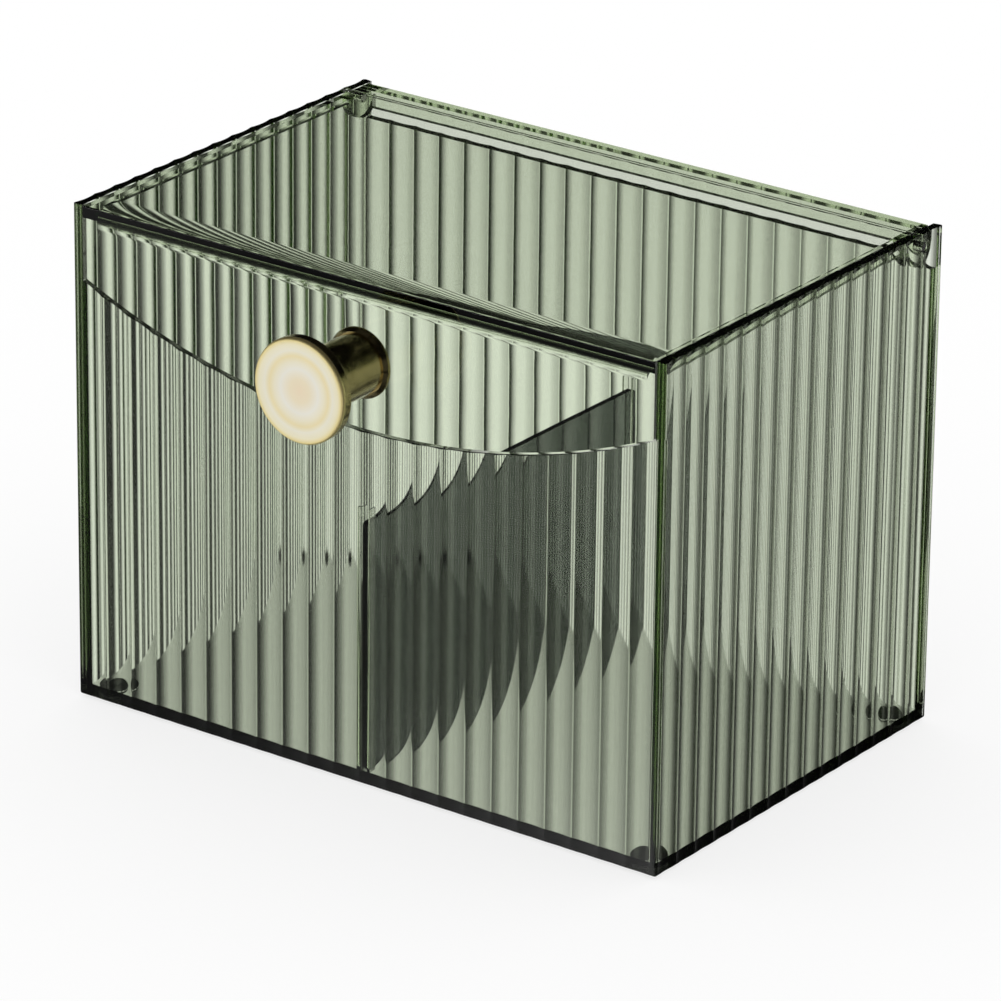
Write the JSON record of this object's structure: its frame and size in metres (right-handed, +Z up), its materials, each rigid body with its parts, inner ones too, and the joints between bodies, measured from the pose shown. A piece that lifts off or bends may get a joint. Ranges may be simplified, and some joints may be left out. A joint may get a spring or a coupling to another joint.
{
  "type": "lidded cotton pad box",
  "caption": "Fluted see-through desk box with a hinged lid, an arched front flap with a round metal knob, and a lift-out divider.",
  "frame": {"origin": "centre of the tub's flat underside; the feet stand 0.8 mm below it", "axes": "+Z up, +Y to the hinged back, so the knob is at -Y, and +X to the right seen from the front"},
  "size_m": [0.17, 0.1364, 0.1268],
  "materials": {
    "tinted_plastic": "clear moulded plastic with a grey-green tint, polished",
    "gold_plate": "polished gold plate",
    "steel": "plain bright steel",
    "foot_rubber": "soft dark anti-slip pad"
  },
  "bodies": {
    "tub": {"tub": "tinted_plastic", "hinge_pin_left": "steel", "hinge_pin_right": "steel", "foot_front_left": "foot_rubber", "foot_front_right": "foot_rubber", "foot_rear_left": "foot_rubber", "foot_rear_right": "foot_rubber"},
    "lid": {"lid": "tinted_plastic", "knob": "gold_plate", "knob_collar": "gold_plate", "knob_screw": "steel", "knob_washer": "steel"},
    "divider": {"divider": "tinted_plastic"}
  },
  "joints": [
    {"name": "lid_hinge", "type": "hinge", "parent": "tub", "child": "lid", "pos_m": [0, 0.049, 0.1226], "axis": [-1, 0, 0], "range_deg": [0, 100]},
    {"name": "divider_lift", "type": "slide", "parent": "tub", "child": "divider", "axis": [0, 0, 1], "range_m": [0, 0.03]}
  ]
}
